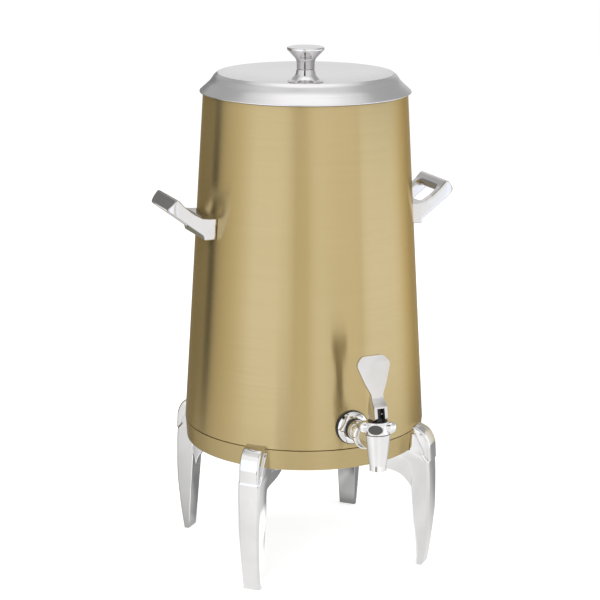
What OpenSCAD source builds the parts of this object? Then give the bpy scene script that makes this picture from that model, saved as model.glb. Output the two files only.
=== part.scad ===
// Coffee urn: an insulated drum on four cast legs, a lift-off lid and a spring-closed lever tap.
// Millimetres. +Z is up, the tap faces -Y, and the origin is on the drum's axis at table level.

/* [Drum] */
// Height of the underside of the base above the table
base_h = 134.7; // [130:0.1:140]
// Height of the base band between its underside and the seam
band_h = 22.1; // [20:0.1:26]
// Height of the shell above the seam
shell_h = 366.4; // [340:0.1:400]
// Outer radius of the shell at the seam
shell_foot_r = 133.8; // [131:0.1:138]
// Outer radius of the shell at its top edge
shell_top_r = 111.3; // [110:0.1:114]
// Thickness of the shell sheet
shell_t = 1; // [0.8:0.1:1.4]
// Open height of the seam groove above the base band
seam_gap = 1.2; // [0.8:0.1:2]
// Least step in from the shell's rim radius to the liner
mouth_step = 8.3; // [7.8:0.1:9.5]
// Thickness of the liner sheet
liner_t = 1; // [0.8:0.1:1.2]
// Room behind the shell at the grips, for their plates and screws
grip_room = 11.2; // [11:0.1:11.4]
// Thickness of the insulating wrap
wrap_t = 4.9; // [4:0.1:5]
// Least room between the wrap and the shell
wrap_gap = 2; // [1.7:0.1:2.2]
// Height of the liner floor above the seam
liner_floor = 3.2; // [1:0.1:6]

/* [Lid] */
// How far the lid's lower edge stands out over the shell's rim
lid_overhang = 3.6; // [3:0.1:5.6]
// Height of the raised ridge above the lid's lower edge
lid_h = 20.5; // [17:0.1:23]
// Width of the bevelled rim outside the raised ridge
lid_bevel = 19.6; // [17:0.1:22.8]
// Depth of the dished middle below the ridge
dish_depth = 10.6; // [7:0.1:12]
// Thickness of the lid cover sheet
lid_t = 1.2; // [1:0.1:1.5]
// Depth of the pan that hangs in the mouth
pan_depth = 21; // [16:0.1:26]
// Thickness of the ring under the lid
lid_seal_t = 1.2; // [1:0.1:1.6]

/* [Knob] */
// Overall height of the knob above the dish
knob_h = 38.4; // [34:0.1:44]
// Radius of the knob's top disc
knob_r = 20.2; // [17:0.1:23]
// Radius of the knob's waist
knob_waist_r = 9.4; // [8:0.1:11]
// Radius of the knob's foot
knob_foot_r = 18.4; // [16:0.1:21]

/* [Legs] */
// How far the legs stand out beyond the base band
leg_reach = 21.6; // [19:0.1:25]
// Width of a leg at the top
leg_w = 27; // [25:0.1:29]
// Width of a leg at the table
leg_foot_w = 20; // [18:0.1:22]
// Width of the cover cap on each leg
cap_w = 22.6; // [20:0.1:24]
// Thickness of the rib below each leg's arm
rib_t = 8; // [7:0.1:8.2]
// Thickness of each leg's arm under the base
arm_t = 7.7; // [6.5:0.1:9]

/* [Handles] */
// Height of the handles' feet above the seam
handle_h = 216.9; // [190:0.1:240]
// Overall width of a handle
handle_w = 66; // [62:0.1:70]
// Width of each handle arm
handle_arm = 9.5; // [8:0.1:11]
// How far a handle stands out from the shell
handle_reach = 49.4; // [45:0.1:54]
// Height of a handle's foot plate
handle_foot_h = 23.3; // [21:0.1:26]

/* [Tap] */
// Height of the tap above the seam
tap_h = 24.2; // [22:0.1:27]
// Distance from the shell to the tap's upright axis
tap_reach = 66.1; // [64:0.1:72]
// Radius of the flange against the shell
flange_r = 17.25; // [16.5:0.05:18.5]
// Radius of the tap's bore
bore_r = 5.5; // [4.5:0.1:5.8]
// Radius of the pour tube
tube_r = 8.85; // [8.5:0.05:9.05]
// How far the pour tube ends below the tap's bore
tube_drop = 30.4; // [28:0.1:34]
// Radius of the stem
stem_r = 3.75; // [3.4:0.05:3.8]
// Half the span of the wing nut
wing_span = 19.8; // [18:0.1:22]

/* [Lever] */
// How far the lever pulls forward
pull_angle = 60; // [45:1:60]
// Rise of the stem for each turn of one radian
heel_rise = 3.5; // [2.5:0.1:3.6]
// Distance from the lever's pin to its resting heel
heel_r = 6; // [5.6:0.1:6.4]
// Height of the paddle above the pin
paddle_h = 60; // [54:0.1:68]
// Widest half width of the paddle
paddle_w = 18; // [15:0.1:20]
// Width of the fork's cheeks, outside to outside
fork_w = 14.6; // [14.4:0.1:16]
// Radius of the lever's pin
pin_r = 1.5; // [1.3:0.05:1.7]

/* [Fits] */
// Gap between seated pieces with curved faces
seat = 0.3; // [0.25:0.05:0.4]
// Radial clearance of the sliding stem and the lever's pin
run = 0.06; // [0.04:0.01:0.09]

/* [Hidden] */
$fn = 96;
seam_h = base_h + band_h;
rim_h = seam_h + shell_h;
taper = atan((shell_foot_r - shell_top_r) / shell_h);
band_top_r = shell_foot_r - 0.2;
band_foot_r = shell_foot_r - 1.8;
band_t = 1.2;
floor_h = seam_h + liner_floor;
collar_h = 15;
screw_r = 2.5;
// The liner clears the mouth and, with its wrap, the shell and the grips' plates.
wrap_room = min(
    shell_r(seam_h + handle_h) - grip_room,
    shell_r(rim_h - shell_t - collar_h) - shell_t - wrap_gap);
liner_r = min(shell_top_r - mouth_step, wrap_room - wrap_t - seat - liner_t);
wrap_r = liner_r + liner_t + seat + wrap_t;
steel = [0.78, 0.78, 0.79];
gold = [0.72, 0.6, 0.36];
chrome = [0.88, 0.88, 0.9];
black = [0.07, 0.07, 0.07];
foam = [0.93, 0.9, 0.78];

// Outer radius of the shell at a height.
function shell_r(z) = shell_foot_r - (z - seam_h) * tan(taper);
// Outer radius of the base band at a height.
function band_r(z) = band_foot_r + (z - base_h) * (band_top_r - band_foot_r) / band_h;

function unit(v) = v / norm(v);
function xy(p) = [p[0], p[1]];
function joined(l) = [for (a = l) for (b = a) b];
function swing(a) = a > 180 ? a - 360 : a < -180 ? a + 360 : a;
// Arc of a rounded corner at q between the points p and s.
function arc(p, q, s, r, k) =
    let (u = unit(p - q), v = unit(s - q))
    let (half = acos(u * v) / 2, c = q + unit(u + v) * r / sin(half))
    let (a = q + u * r / tan(half) - c, b = q + v * r / tan(half) - c)
    let (from = atan2(a[1], a[0]), turn = swing(atan2(b[1], b[0]) - from))
    [for (i = [0:k]) c + r * [cos(from + turn * i / k), sin(from + turn * i / k)]];
// Closed outline with rounded corners: every point is [x, y, corner radius].
function rounded(p, k = 6) =
    let (n = len(p))
    joined([for (i = [0:n - 1])
        p[i][2] > 0
            ? arc(xy(p[(i + n - 1) % n]), xy(p[i]), xy(p[(i + 1) % n]), p[i][2], k)
            : [xy(p[i])]]);
// Open path with rounded bends, its two ends left sharp.
function bent(p, k = 6) =
    let (n = len(p))
    joined([for (i = [0:n - 1])
        i > 0 && i < n - 1 && p[i][2] > 0
            ? arc(xy(p[i - 1]), xy(p[i]), xy(p[i + 1]), p[i][2], k)
            : [xy(p[i])]]);
function side_of(a, b) = unit([a[1] - b[1], b[0] - a[0]]);
// Point i of a path moved sideways by t.
function moved(p, i, t) =
    let (n = len(p))
    let (a = i > 0 ? side_of(p[i - 1], p[i]) : side_of(p[0], p[1]))
    let (b = i < n - 1 ? side_of(p[i], p[i + 1]) : a)
    p[i] + unit(a + b) * t / (unit(a + b) * a);
// Even sheet on the left-hand side of a path.
function sheet(p, t) = concat(p, [for (i = [len(p) - 1:-1:0]) moved(p, i, t)]);

module spin(p) {
    rotate_extrude()
        polygon(p);
}

module ring(r_out, r_in, h) {
    difference() {
        cylinder(h = h, r = r_out);
        translate([0, 0, -1])
            cylinder(h = h + 2, r = r_in);
    }
}

// Solid under the shell's outer face, grown by g, for seating pieces against it.
module drum_envelope(g) {
    $fn = 360;
    translate([0, 0, seam_h - 40])
        cylinder(h = shell_h + 40, r1 = shell_r(seam_h - 40) + g, r2 = shell_top_r + g);
}

// Side outline drawn as [out, up], given a thickness across.
module slab(p, w) {
    rotate([90, 0, 0])
        translate([0, 0, -w / 2])
            linear_extrude(height = w)
                polygon(p);
}

// ---- drum ----

module outer_shell() {
    color(gold)
        difference() {
            spin(sheet(bent([
                [shell_foot_r, seam_h + seam_gap, 0],
                [shell_top_r, rim_h, 1.2],
                [shell_top_r - 4.4, rim_h, 0]]), shell_t));
            on_tap()
                along_shank()
                    translate([0, 0, -12])
                        cylinder(h = 20, r = shank_r + seat);
            for (side = [0, 180])
                rotate([0, 0, side])
                    handle_screw_holes(shell_r(handle_z) - 14, screw_r + 0.2);
        }
}

module neck_collar() {
    color(black)
        spin([
            [liner_r + liner_t + seat, rim_h - shell_t - collar_h],
            [shell_r(rim_h - shell_t - collar_h) - shell_t - 2 * seat, rim_h - shell_t - collar_h],
            [shell_top_r - shell_t - 2 * seat, rim_h - shell_t],
            [liner_r + liner_t + seat, rim_h - shell_t]]);
}

module inner_liner() {
    color(steel)
        difference() {
            spin(sheet(bent([
                [liner_r + liner_t, floor_h, 0],
                [liner_r + liner_t, rim_h - liner_t, 0.2],
                [shell_top_r - 4.4 - seat, rim_h - liner_t, 0]]), liner_t));
            on_tap()
                along_shank()
                    translate([0, 0, -liner_gap - 12])
                        cylinder(h = 24, r = spud_r + 0.2);
        }
}

module liner_base() {
    color(steel)
        translate([0, 0, floor_h - liner_t])
            cylinder(h = liner_t, r = liner_r + liner_t);
}

module insulation() {
    color(foam)
        difference() {
            spin(sheet(bent([
                [0, floor_h - liner_t - seat - wrap_t, 0],
                [wrap_r, floor_h - liner_t - seat - wrap_t, wrap_t + 0.2],
                [wrap_r, rim_h - shell_t - collar_h - 0.5, 0]]), wrap_t));
            on_tap()
                along_shank()
                    translate([0, 0, -liner_gap - 4])
                        cylinder(h = 60, r = spud_r + 0.8);
        }
}

module base_band() {
    color(gold)
        spin(sheet(bent([
            [band_foot_r - 7, base_h, 0],
            [band_foot_r, base_h, 1.6],
            [band_top_r, seam_h, 0.5],
            [shell_foot_r - shell_t - 1.6, seam_h, 0],
            [shell_foot_r - shell_t - 1.9, seam_h + 9, 0]]), band_t));
}

module bottom_plate() {
    color(steel)
        difference() {
            spin(sheet([
                [0, base_h],
                [band_foot_r - 9.6, base_h],
                [band_foot_r - 8.6, base_h + band_t],
                [band_foot_r - 2.6, base_h + band_t]], band_t));
            each_leg_screw()
                translate([0, 0, base_h - 2])
                    cylinder(h = 6, r = screw_r + 0.2);
        }
}

// ---- lid ----

lid_z = rim_h + 0.4;
lid_r = shell_top_r + lid_overhang;
ridge_r = lid_r - lid_bevel;
// Units that the bevelled rim is drawn in, across and up.
rim_u = lid_bevel / 19.6;
rim_v = lid_h / 20.5;
pan_r = liner_r - 1.4;
dish_z = lid_z + lid_h - dish_depth;

module lid_cover() {
    color(steel)
        difference() {
            spin(sheet(bent([
                [0, dish_z, 0],
                [ridge_r * 0.25, dish_z + dish_depth * 0.03, 0],
                [ridge_r * 0.5, dish_z + dish_depth * 0.22, 0],
                [ridge_r * 0.75, dish_z + dish_depth * 0.54, 0],
                [ridge_r - 7 * rim_u, dish_z + dish_depth * 0.87, 0],
                [ridge_r, lid_z + lid_h, 2.2],
                [ridge_r + 4 * rim_u, lid_z + lid_h - 3 * rim_v, 2],
                [ridge_r + 8.4 * rim_u, lid_z + lid_h - 9.6 * rim_v, 3],
                [lid_r, lid_z + 0.6, 0.4],
                [lid_r, lid_z, 0]]), -lid_t));
            translate([0, 0, dish_z - 5])
                cylinder(h = 10, r = 3.2);
        }
}

module lid_pan() {
    color(steel)
        spin(sheet(bent([
            [0, rim_h + lid_seal_t - pan_depth, 0],
            [pan_r, rim_h + lid_seal_t - pan_depth, 4],
            [pan_r, rim_h + lid_seal_t, 0.4],
            [shell_top_r, rim_h + lid_seal_t, 0]]), 0.8));
}

module lid_insulation() {
    color(foam)
        difference() {
            translate([0, 0, rim_h + lid_seal_t - pan_depth + 0.8])
                cylinder(h = pan_depth * 0.57, r = pan_r - 4.2);
            translate([0, 0, rim_h + lid_seal_t - pan_depth])
                cylinder(h = pan_depth, r = knob_foot_r / 2);
        }
}

module lid_seal() {
    color(black)
        translate([0, 0, rim_h])
            ring(shell_top_r - 0.5, liner_r + 1.2, lid_seal_t);
}

module knob_foot() {
    color(chrome)
        translate([0, 0, dish_z])
            difference() {
                spin(rounded([
                    [0, 0.6, 0],
                    [knob_foot_r * 0.5, 0.6, 0],
                    [knob_foot_r, 0.9, 0.8],
                    [knob_foot_r, 2.8, 1],
                    [knob_waist_r + 1, 5.6, 5],
                    [knob_waist_r, knob_h * 0.36, 0],
                    [0, knob_h * 0.36, 0]]));
                translate([0, 0, -1])
                    cylinder(h = knob_h, r = 3.2);
            }
}

module knob_head() {
    color(chrome)
        translate([0, 0, dish_z])
            difference() {
                spin(rounded([
                    [0, knob_h * 0.36, 0],
                    [knob_waist_r - 0.4, knob_h * 0.36, 0],
                    [knob_waist_r, knob_h * 0.62, 8],
                    [knob_r, knob_h - 3.6, 1],
                    [knob_r, knob_h - 0.9, 0.8],
                    [0, knob_h, 0]]));
                translate([0, 0, -1])
                    cylinder(h = knob_h * 0.75, r = 3 + 0.02);
            }
}

module knob_screw() {
    color(steel)
        translate([0, 0, dish_z]) {
            translate([0, 0, -lid_t - 1.4])
                ring(7.5, 3.2, 1.2);
            translate([0, 0, -lid_t - 5.4])
                cylinder(h = 4, r = 5);
            translate([0, 0, -lid_t - 1.6])
                cylinder(h = knob_h * 0.62, r = 3);
        }
}

// ---- legs ----

leg_front = band_foot_r + 1.6 + leg_reach;
leg_back = band_foot_r + 1.9;
// Unit that the leg's outline is drawn in, so that it grows with its width.
leg_u = leg_w / 27;
// Faces that the cap lies on, from its lower end up to the top of the leg.
cap_bed = [
    [leg_front - 1.5 * leg_u, base_h - 10.8 * leg_u],
    [leg_front - 4.4 * leg_u, base_h - 7.6 * leg_u],
    [leg_front - 6.8 * leg_u, base_h - 4.2 * leg_u],
    [leg_front - 8 * leg_u, base_h],
    [leg_front - 12.6 * leg_u, seam_h - 13.8 * leg_u],
    [leg_front - 17.4 * leg_u, seam_h - 5.2 * leg_u],
    [leg_front - 19.6 * leg_u, seam_h - 3.1 * leg_u]];
leg_outline = concat(
    [
        [leg_front - 14.4 * leg_u, 0],
        [leg_front - 8.2 * leg_u, 0],
        [leg_front - 7.2 * leg_u, 1.2 * leg_u],
        [leg_front - 5.7 * leg_u, base_h * 0.075],
        [leg_front - 3.2 * leg_u, base_h * 0.22],
        [leg_front - 1.2 * leg_u, base_h * 0.37],
        [leg_front, base_h * 0.48],
        [leg_front - 0.3 * leg_u, base_h - 28 * leg_u],
        [leg_front - 1.2 * leg_u, base_h - 12.4 * leg_u]],
    cap_bed,
    [
        [leg_back - 6 * leg_u, seam_h - 3.1 * leg_u],
        [leg_back - 6 * leg_u, base_h],
        [leg_back - 12 * leg_u, base_h],
        [leg_back - 12 * leg_u, base_h - arm_t],
        [leg_back - 8 * leg_u, base_h - 11.5 * leg_u],
        [leg_back - 4.5 * leg_u, base_h - 15.5 * leg_u],
        [leg_back - 1.8 * leg_u, base_h - 21 * leg_u],
        [leg_back + 0.2 * leg_u, base_h - 29 * leg_u],
        [leg_back + 0.1 * leg_u, base_h * 0.67],
        [leg_back + 1.8 * leg_u, base_h * 0.5],
        [leg_back + 3.9 * leg_u, base_h * 0.3]]);
leg_edge = 2.4 * leg_u;

// Half width of a leg at a share of its height.
function leg_half(f) = (leg_foot_w + (leg_w - leg_foot_w) * min(1, 1.5 * f - 0.55 * f * f)) / 2;
// Radius of the leg's outer and inner faces at a share of its height.
function leg_outer(f) = leg_front - 8.2 * pow(max(0, 1 - 2.1 * f), 2);
function leg_inner(f) = leg_back + 6 * max(0, 1 - 1.5 * f);

module leg_column() {
    top = seam_h;
    steps = [0:0.1:1];
    intersection() {
        slab(leg_outline, leg_w + 4);
        rotate([90, 0, 90])
            linear_extrude(height = leg_front + 10)
                polygon(concat(
                    [for (f = steps) [leg_half(f), f * top]],
                    [for (f = [1:-0.1:0]) [-leg_half(f), f * top]]));
        for (s = [-1, 1])
            leg_bevel(s, top);
    }
}

// Upright solid that bevels two opposite corners of a leg.
module leg_bevel(s, top) {
    root = sqrt(2);
    rotate([0, 0, s * 45])
        slab(concat(
            [for (f = [0:0.1:1])
                [(leg_outer(f) + leg_half(f)) / root - leg_edge, f * top]],
            [[10, top], [10, 0]]), 2 * leg_front);
}

module leg_arm() {
    translate([0, 0, base_h - arm_t])
        linear_extrude(height = arm_t)
            polygon(rounded([
                [58, -leg_w / 2 + 1, 8],
                [leg_back - 2 * leg_u, -leg_w / 2 + 1, 0],
                [leg_back - 2 * leg_u, leg_w / 2 - 1, 0],
                [58, leg_w / 2 - 1, 8]]));
    slab([
        [leg_back + 1 * leg_u, base_h * 0.56],
        [leg_back - 2.9 * leg_u, base_h - 46.7 * leg_u],
        [leg_back - 9.9 * leg_u, base_h - 37.7 * leg_u],
        [leg_back - 16.9 * leg_u, base_h - 32.7 * leg_u],
        [leg_back - 26 * leg_u, base_h - 29.9 * leg_u],
        [leg_back - 50 * leg_u, base_h - 26 * leg_u],
        [leg_back - 64 * leg_u, base_h - 20 * leg_u],
        [64, base_h - arm_t],
        [leg_back + 1 * leg_u, base_h - arm_t]], rib_t);
}

module leg() {
    color(chrome)
        difference() {
            union() {
                leg_column();
                leg_arm();
            }
            translate([0, 0, base_h])
                cylinder(h = band_h, r1 = band_foot_r + seat, r2 = band_top_r + seat);
            leg_screw_spots()
                translate([0, 0, base_h - 20])
                    cylinder(h = 30, r = screw_r + 0.2);
        }
}

module leg_cap() {
    color(chrome)
        difference() {
            slab(concat(
                cap_bed,
                [
                    [leg_back - 6 * leg_u, seam_h - 3.1 * leg_u],
                    [leg_back - 6 * leg_u, seam_h + 4.4 * leg_u],
                    [leg_front - 15.6 * leg_u, seam_h + 3.2 * leg_u],
                    [leg_front - 11 * leg_u, seam_h + 1 * leg_u],
                    [leg_front - 7.5 * leg_u, seam_h - 1.6 * leg_u],
                    [leg_front - 4.6 * leg_u, seam_h - 5.8 * leg_u],
                    [leg_front - 2.6 * leg_u, seam_h - 9.8 * leg_u],
                    [leg_front - 1.1 * leg_u, seam_h - 15 * leg_u],
                    [leg_front - 0.2 * leg_u, base_h - 4.7 * leg_u],
                    [leg_front + 0.1 * leg_u, base_h - 10.8 * leg_u]]), cap_w);
            drum_envelope(seat);
            for (s = [-1, 1])
                translate([leg_front - 2 * leg_u, s * cap_w / 2, 0])
                    rotate([0, 0, s * 45])
                        translate([1.6 * leg_u, -10 * leg_u, base_h - 20 * leg_u])
                            cube([20, 20, 45] * leg_u);
        }
}

module at_leg(n) {
    rotate([0, 0, [-135, -45, 135, 45][n]])
        children();
}

module leg_screw_spots() {
    for (s = [-1, 1])
        translate([leg_back - 34, s * 8.6, 0])
            children();
}

module each_leg_screw() {
    for (n = [0:3])
        at_leg(n)
            leg_screw_spots()
                children();
}

module leg_screws() {
    color(steel)
        each_leg_screw() {
            translate([0, 0, base_h - arm_t - 3])
                cylinder(h = 3, r = 4.2, $fn = 48);
            translate([0, 0, base_h - arm_t])
                cylinder(h = arm_t + band_t + 5.5, r = screw_r, $fn = 48);
        }
}

module leg_nuts() {
    color(steel)
        each_leg_screw()
            translate([0, 0, base_h + band_t])
                difference() {
                    cylinder(h = 4, r = 4.6, $fn = 6);
                    translate([0, 0, -1])
                        cylinder(h = 6, r = screw_r + 0.02, $fn = 48);
                }
}

// ---- handles ----

handle_z = seam_h + handle_h;
handle_wall = shell_r(handle_z);
grip_x = handle_wall + handle_reach;
// Unit that the grips are drawn in, so that they grow with their width.
handle_u = handle_w / 66;
foot_x = handle_wall + 8.4 * handle_u;

module handle() {
    bar = handle_w / 2 - handle_arm;
    color(chrome)
        difference() {
            intersection() {
                translate([0, 0, handle_z])
                    slab(rounded([
                        [handle_wall - 14, 0, 0],
                        [foot_x, 0, 1.5],
                        [foot_x + 0.9 * handle_u, 5.3 * handle_u, 2],
                        [grip_x - 0.4 * handle_u, 34.8 * handle_u, 2],
                        [grip_x - 11.6 * handle_u, 47.3 * handle_u, 2.5],
                        [grip_x - 19 * handle_u, 38.8 * handle_u, 3],
                        [grip_x - 30 * handle_u, 29.8 * handle_u, 4],
                        [grip_x - 40 * handle_u, 24.3 * handle_u, 6],
                        [grip_x - 51 * handle_u, handle_foot_h, 0],
                        [handle_wall - 14, handle_foot_h, 0]]), handle_w);
                translate([0, 0, handle_z - 10])
                    linear_extrude(height = 70)
                        polygon(rounded([
                            [handle_wall - 20, -handle_w / 2, 0],
                            [grip_x, -handle_w / 2, 11.5],
                            [grip_x, handle_w / 2, 11.5],
                            [handle_wall - 20, handle_w / 2, 0]], 10));
            }
            // The finger opening.
            translate([0, 0, handle_z - 5])
                linear_extrude(height = 70)
                    polygon(rounded([
                        [foot_x + 0.2 * handle_u, -bar, 4],
                        [grip_x - 18.6 * handle_u, -bar, 5],
                        [grip_x - 18.6 * handle_u, bar, 5],
                        [foot_x + 0.2 * handle_u, bar, 4]]));
            // The crossbar's relieved underside.
            translate([0, 0, handle_z])
                slab([
                    [foot_x + 0.2 * handle_u, -5],
                    [grip_x + 5, -5],
                    [grip_x + 5, 35.6 * handle_u],
                    [grip_x - 0.4 * handle_u, 34.8 * handle_u],
                    [grip_x - 17.4 * handle_u, 32.3 * handle_u],
                    [foot_x + 0.2 * handle_u, 32.3 * handle_u]], 2 * bar);
            drum_envelope(seat);
            handle_screw_holes(handle_wall - 5, screw_r + 0.02, 11.4);
        }
}

module handle_screw_holes(x, r, l = 14) {
    for (s = [-1, 1])
        translate([x, s * handle_w * 0.33, handle_z + handle_foot_h / 2])
            rotate([0, 90, 0])
                cylinder(h = l, r = r, $fn = 48);
}

module handle_plates() {
    color(steel)
        for (side = [0, 180])
            rotate([0, 0, side])
                difference() {
                    translate([handle_wall - grip_room + 1.6, -handle_w / 2, handle_z + handle_foot_h / 2 - 8])
                        cube([2, handle_w, 16]);
                    handle_screw_holes(handle_wall - 14, screw_r + 0.2);
                }
}

module handle_screws() {
    color(steel)
        for (side = [0, 180])
            rotate([0, 0, side])
                for (s = [-1, 1])
                    translate([handle_wall - 12.4, s * handle_w * 0.33, handle_z + handle_foot_h / 2])
                        rotate([0, 90, 0]) {
                            cylinder(h = 2.8, r = 4.5, $fn = 48);
                            cylinder(h = 18.4, r = screw_r, $fn = 48);
                        }
}

// ---- tap ----

tap_z = seam_h + tap_h;
tap_wall = shell_r(tap_z);
shank_r = 7.5;
spud_r = 12;
liner_gap = tap_wall - liner_r;
neck_r = 9.75;
// Heights above the shank: the body's shoulder, the wing nut that stands on it, and the
// disc in the nut's top that guides the stem.
shoulder = 8.8;
nut_foot = shoulder + seat;
nut_h = 13.3;
disc_foot = nut_foot + nut_h - 2.6;
disc_top = disc_foot + 3.1;
pin_z = disc_top + seat + heel_r;
lift = heel_rise * pull_angle * PI / 180;
nut_turn = -34;
badge_up = 6.5;

// Tap frame: square to the tapered shell, with -Y outwards.
module on_tap() {
    translate([0, -tap_wall, tap_z])
        rotate([-taper, 0, 0])
            children();
}

// Turns +Z to point outwards along the shank.
module along_shank() {
    rotate([90, 0, 0])
        children();
}

module on_axis() {
    translate([0, -tap_reach, 0])
        children();
}

module tap_gasket() {
    color(black)
        difference() {
            on_tap()
                along_shank()
                    translate([0, 0, -4])
                        ring(flange_r + 1, shank_r + seat, 6);
            drum_envelope(seat);
        }
}

module tap_shank() {
    color(chrome)
        on_tap()
            along_shank()
                difference() {
                    union() {
                        translate([0, 0, -liner_gap - 14])
                            cylinder(h = liner_gap + 20, r = shank_r);
                        spin([[0, 2], [flange_r, 2], [flange_r, 3.4], [flange_r - 2, 5], [0, 5]]);
                        intersection() {
                            translate([0, 0, 4])
                                cylinder(h = 7, r = 29 / sqrt(3), $fn = 6);
                            spin([[0, 4], [16.6, 4], [16.6, 9.4], [14, 11], [0, 11]]);
                        }
                        translate([0, 0, 2])
                            cylinder(h = 31.2, r = neck_r);
                        translate([0, 0, 14.6])
                            spin([[0, 0], [neck_r + 1.2, 0], [neck_r + 0.6, 4], [0, 4]]);
                    }
                    translate([0, 0, -liner_gap - 20])
                        cylinder(h = liner_gap + 70, r = bore_r);
                }
}

module shank_ring() {
    color(black)
        on_tap()
            along_shank()
                translate([0, 0, 11.2])
                    spin(rounded([
                        [neck_r + seat, 0, 0],
                        [neck_r + 1.75, 0, 1],
                        [neck_r + 1.75, 3, 1],
                        [neck_r + seat, 3, 0]]));
}

module liner_spud() {
    color(steel)
        on_tap()
            along_shank()
                translate([0, 0, -liner_gap - 3.5])
                    ring(spud_r, shank_r + 0.1, 8);
}

module liner_washer() {
    color(black)
        on_tap()
            along_shank()
                translate([0, 0, -liner_gap - 5.5])
                    ring(spud_r - 0.5, shank_r + 0.1, 2);
}

module jam_nut() {
    color(steel)
        on_tap()
            along_shank()
                translate([0, 0, -liner_gap - 11.5])
                    difference() {
                        cylinder(h = 6, r = 13.4, $fn = 6);
                        translate([0, 0, -1])
                            cylinder(h = 8, r = shank_r + 0.02);
                    }
}

module coupling_nut() {
    color(chrome)
        on_tap()
            along_shank()
                difference() {
                    spin([
                        [0, 29], [12.6, 29], [13.4, 30], [13.4, 31.4], [12.8, 32], [12.8, 32.6],
                        [14.2, 33.2], [14.2, 34.8], [13.6, 35.4], [13.6, 36], [14.8, 36.6],
                        [14.8, 38.4], [13.6, 39.4], [0, 39.4]]);
                    translate([0, 0, 20])
                        cylinder(h = 17, r = neck_r + 0.12);
                    translate([0, 0, 20])
                        cylinder(h = 30, r = 8.6);
                }
}

module tap_seal() {
    color(black)
        on_tap()
            along_shank()
                translate([0, 0, 33.2])
                    ring(neck_r - 0.5, bore_r + 0.3, 1.2);
}

module tap_body() {
    top_r = 13.7;
    end_r = tube_r + 0.3;
    drop = tube_drop - 8;
    color(chrome)
        on_tap()
            difference() {
                union() {
                    // The tapered body, its lower end cut at a slant above the pour tube.
                    difference() {
                        on_axis()
                            translate([0, 0, -drop - 2])
                                cylinder(h = drop + 2 + shoulder, r1 = end_r, r2 = top_r);
                        on_axis()
                            rotate([0, 0, 67])
                                translate([0, 0, -drop])
                                    rotate([0, -16, 0])
                                        translate([-30, -30, -20])
                                            cube([60, 60, 20]);
                    }
                    on_axis() {
                        translate([0, 0, -tube_drop])
                            cylinder(h = tube_drop, r = tube_r);
                        cylinder(h = nut_foot + 5.1, r = 10.4);
                    }
                    along_shank() {
                        translate([0, 0, 34.4])
                            cylinder(h = 20, r = 8.3);
                        translate([0, 0, 34.4])
                            cylinder(h = 2.4, r = 9.4);
                    }
                    // The barrel, its top falling away to the wing nut's seat.
                    intersection() {
                        along_shank()
                            translate([0, 0, 39.8])
                                cylinder(h = tap_reach - 39.8, r = 11.6);
                        rotate([0, 0, -90])
                            slab([
                                [39, -12],
                                [39, 12],
                                [tap_reach - 24, 11],
                                [tap_reach - 14, shoulder],
                                [tap_reach, shoulder],
                                [tap_reach, -12]], 30);
                    }
                }
                // The waterway: side bore, chamber, seat and pour bore.
                along_shank()
                    translate([0, 0, 30])
                        cylinder(h = tap_reach - 30, r = side_bore_r);
                on_axis() {
                    translate([0, 0, seat_z])
                        cylinder(h = 40, r = chamber_r);
                    translate([0, 0, -tube_drop - 1])
                        cylinder(h = tube_drop, r = 5.8);
                }
            }
}

seat_z = -9;
side_bore_r = 4.2;
chamber_r = 8;

module on_nut() {
    on_axis()
        translate([0, 0, nut_foot])
            rotate([0, 0, nut_turn])
                children();
}

module wing_nut() {
    lobe = 6.3;
    color(chrome)
        on_tap()
            on_nut()
                difference() {
                    union() {
                        spin(rounded([
                            [0, 0, 0],
                            [13.2, 0, 0.6],
                            [12.2, 3.1, 3],
                            [11.9, 9.1, 3],
                            [12.6, nut_h, 0.6],
                            [0, nut_h, 0]]));
                        translate([lobe - wing_span, 0, nut_h / 2])
                            rotate([0, 90, 0])
                                cylinder(h = 2 * (wing_span - lobe), r = lobe);
                        for (s = [-1, 1])
                            translate([s * (wing_span - lobe), 0, nut_h / 2])
                                sphere(r = lobe);
                        translate([0, 0, badge_up])
                            rotate([90, 0, 0])
                                linear_extrude(height = 12.9)
                                    oval(8.7, 6);
                    }
                    translate([0, -12.2, badge_up])
                        rotate([90, 0, 0])
                            linear_extrude(height = 5)
                                oval(7.75, 5);
                    translate([0, 0, -2])
                        cylinder(h = 7.4, r = 10.4 + seat);
                    translate([0, 0, -2])
                        cylinder(h = nut_h + 4, r = 7.6);
                    translate([0, 0, disc_foot - nut_foot])
                        cylinder(h = 10, r = 10.6);
                }
}

module oval(a, b) {
    polygon([for (t = [0:9:351]) [a * cos(t), b * sin(t)]]);
}

module badge() {
    color([0.3, 0.3, 0.3])
        on_tap()
            on_nut()
                translate([0, -12.2, badge_up])
                    rotate([90, 0, 0])
                        linear_extrude(height = 0.9)
                            oval(7.65, 4.9);
}

module stem_guide() {
    color(black)
        on_tap()
            on_axis()
                difference() {
                    union() {
                        translate([0, 0, disc_foot])
                            cylinder(h = disc_top - disc_foot, r = 10.4);
                        intersection() {
                            translate([0, 0, disc_top])
                                cylinder(h = 3, r1 = 6.4, r2 = stem_r + 0.9);
                            translate([-3.9, -10, 0])
                                cube([7.8, 20, 40]);
                        }
                    }
                    translate([0, 0, disc_foot - 5])
                        cylinder(h = 20, r = stem_r + run);
                    translate([0, 0, disc_foot - 1])
                        cylinder(h = 2.6, r = stem_r + 1.6);
                }
}

module stem_seal() {
    color(black)
        on_tap()
            on_axis()
                translate([0, 0, disc_foot])
                    ring(stem_r + 1.5, stem_r + run, 1.5);
}

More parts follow.
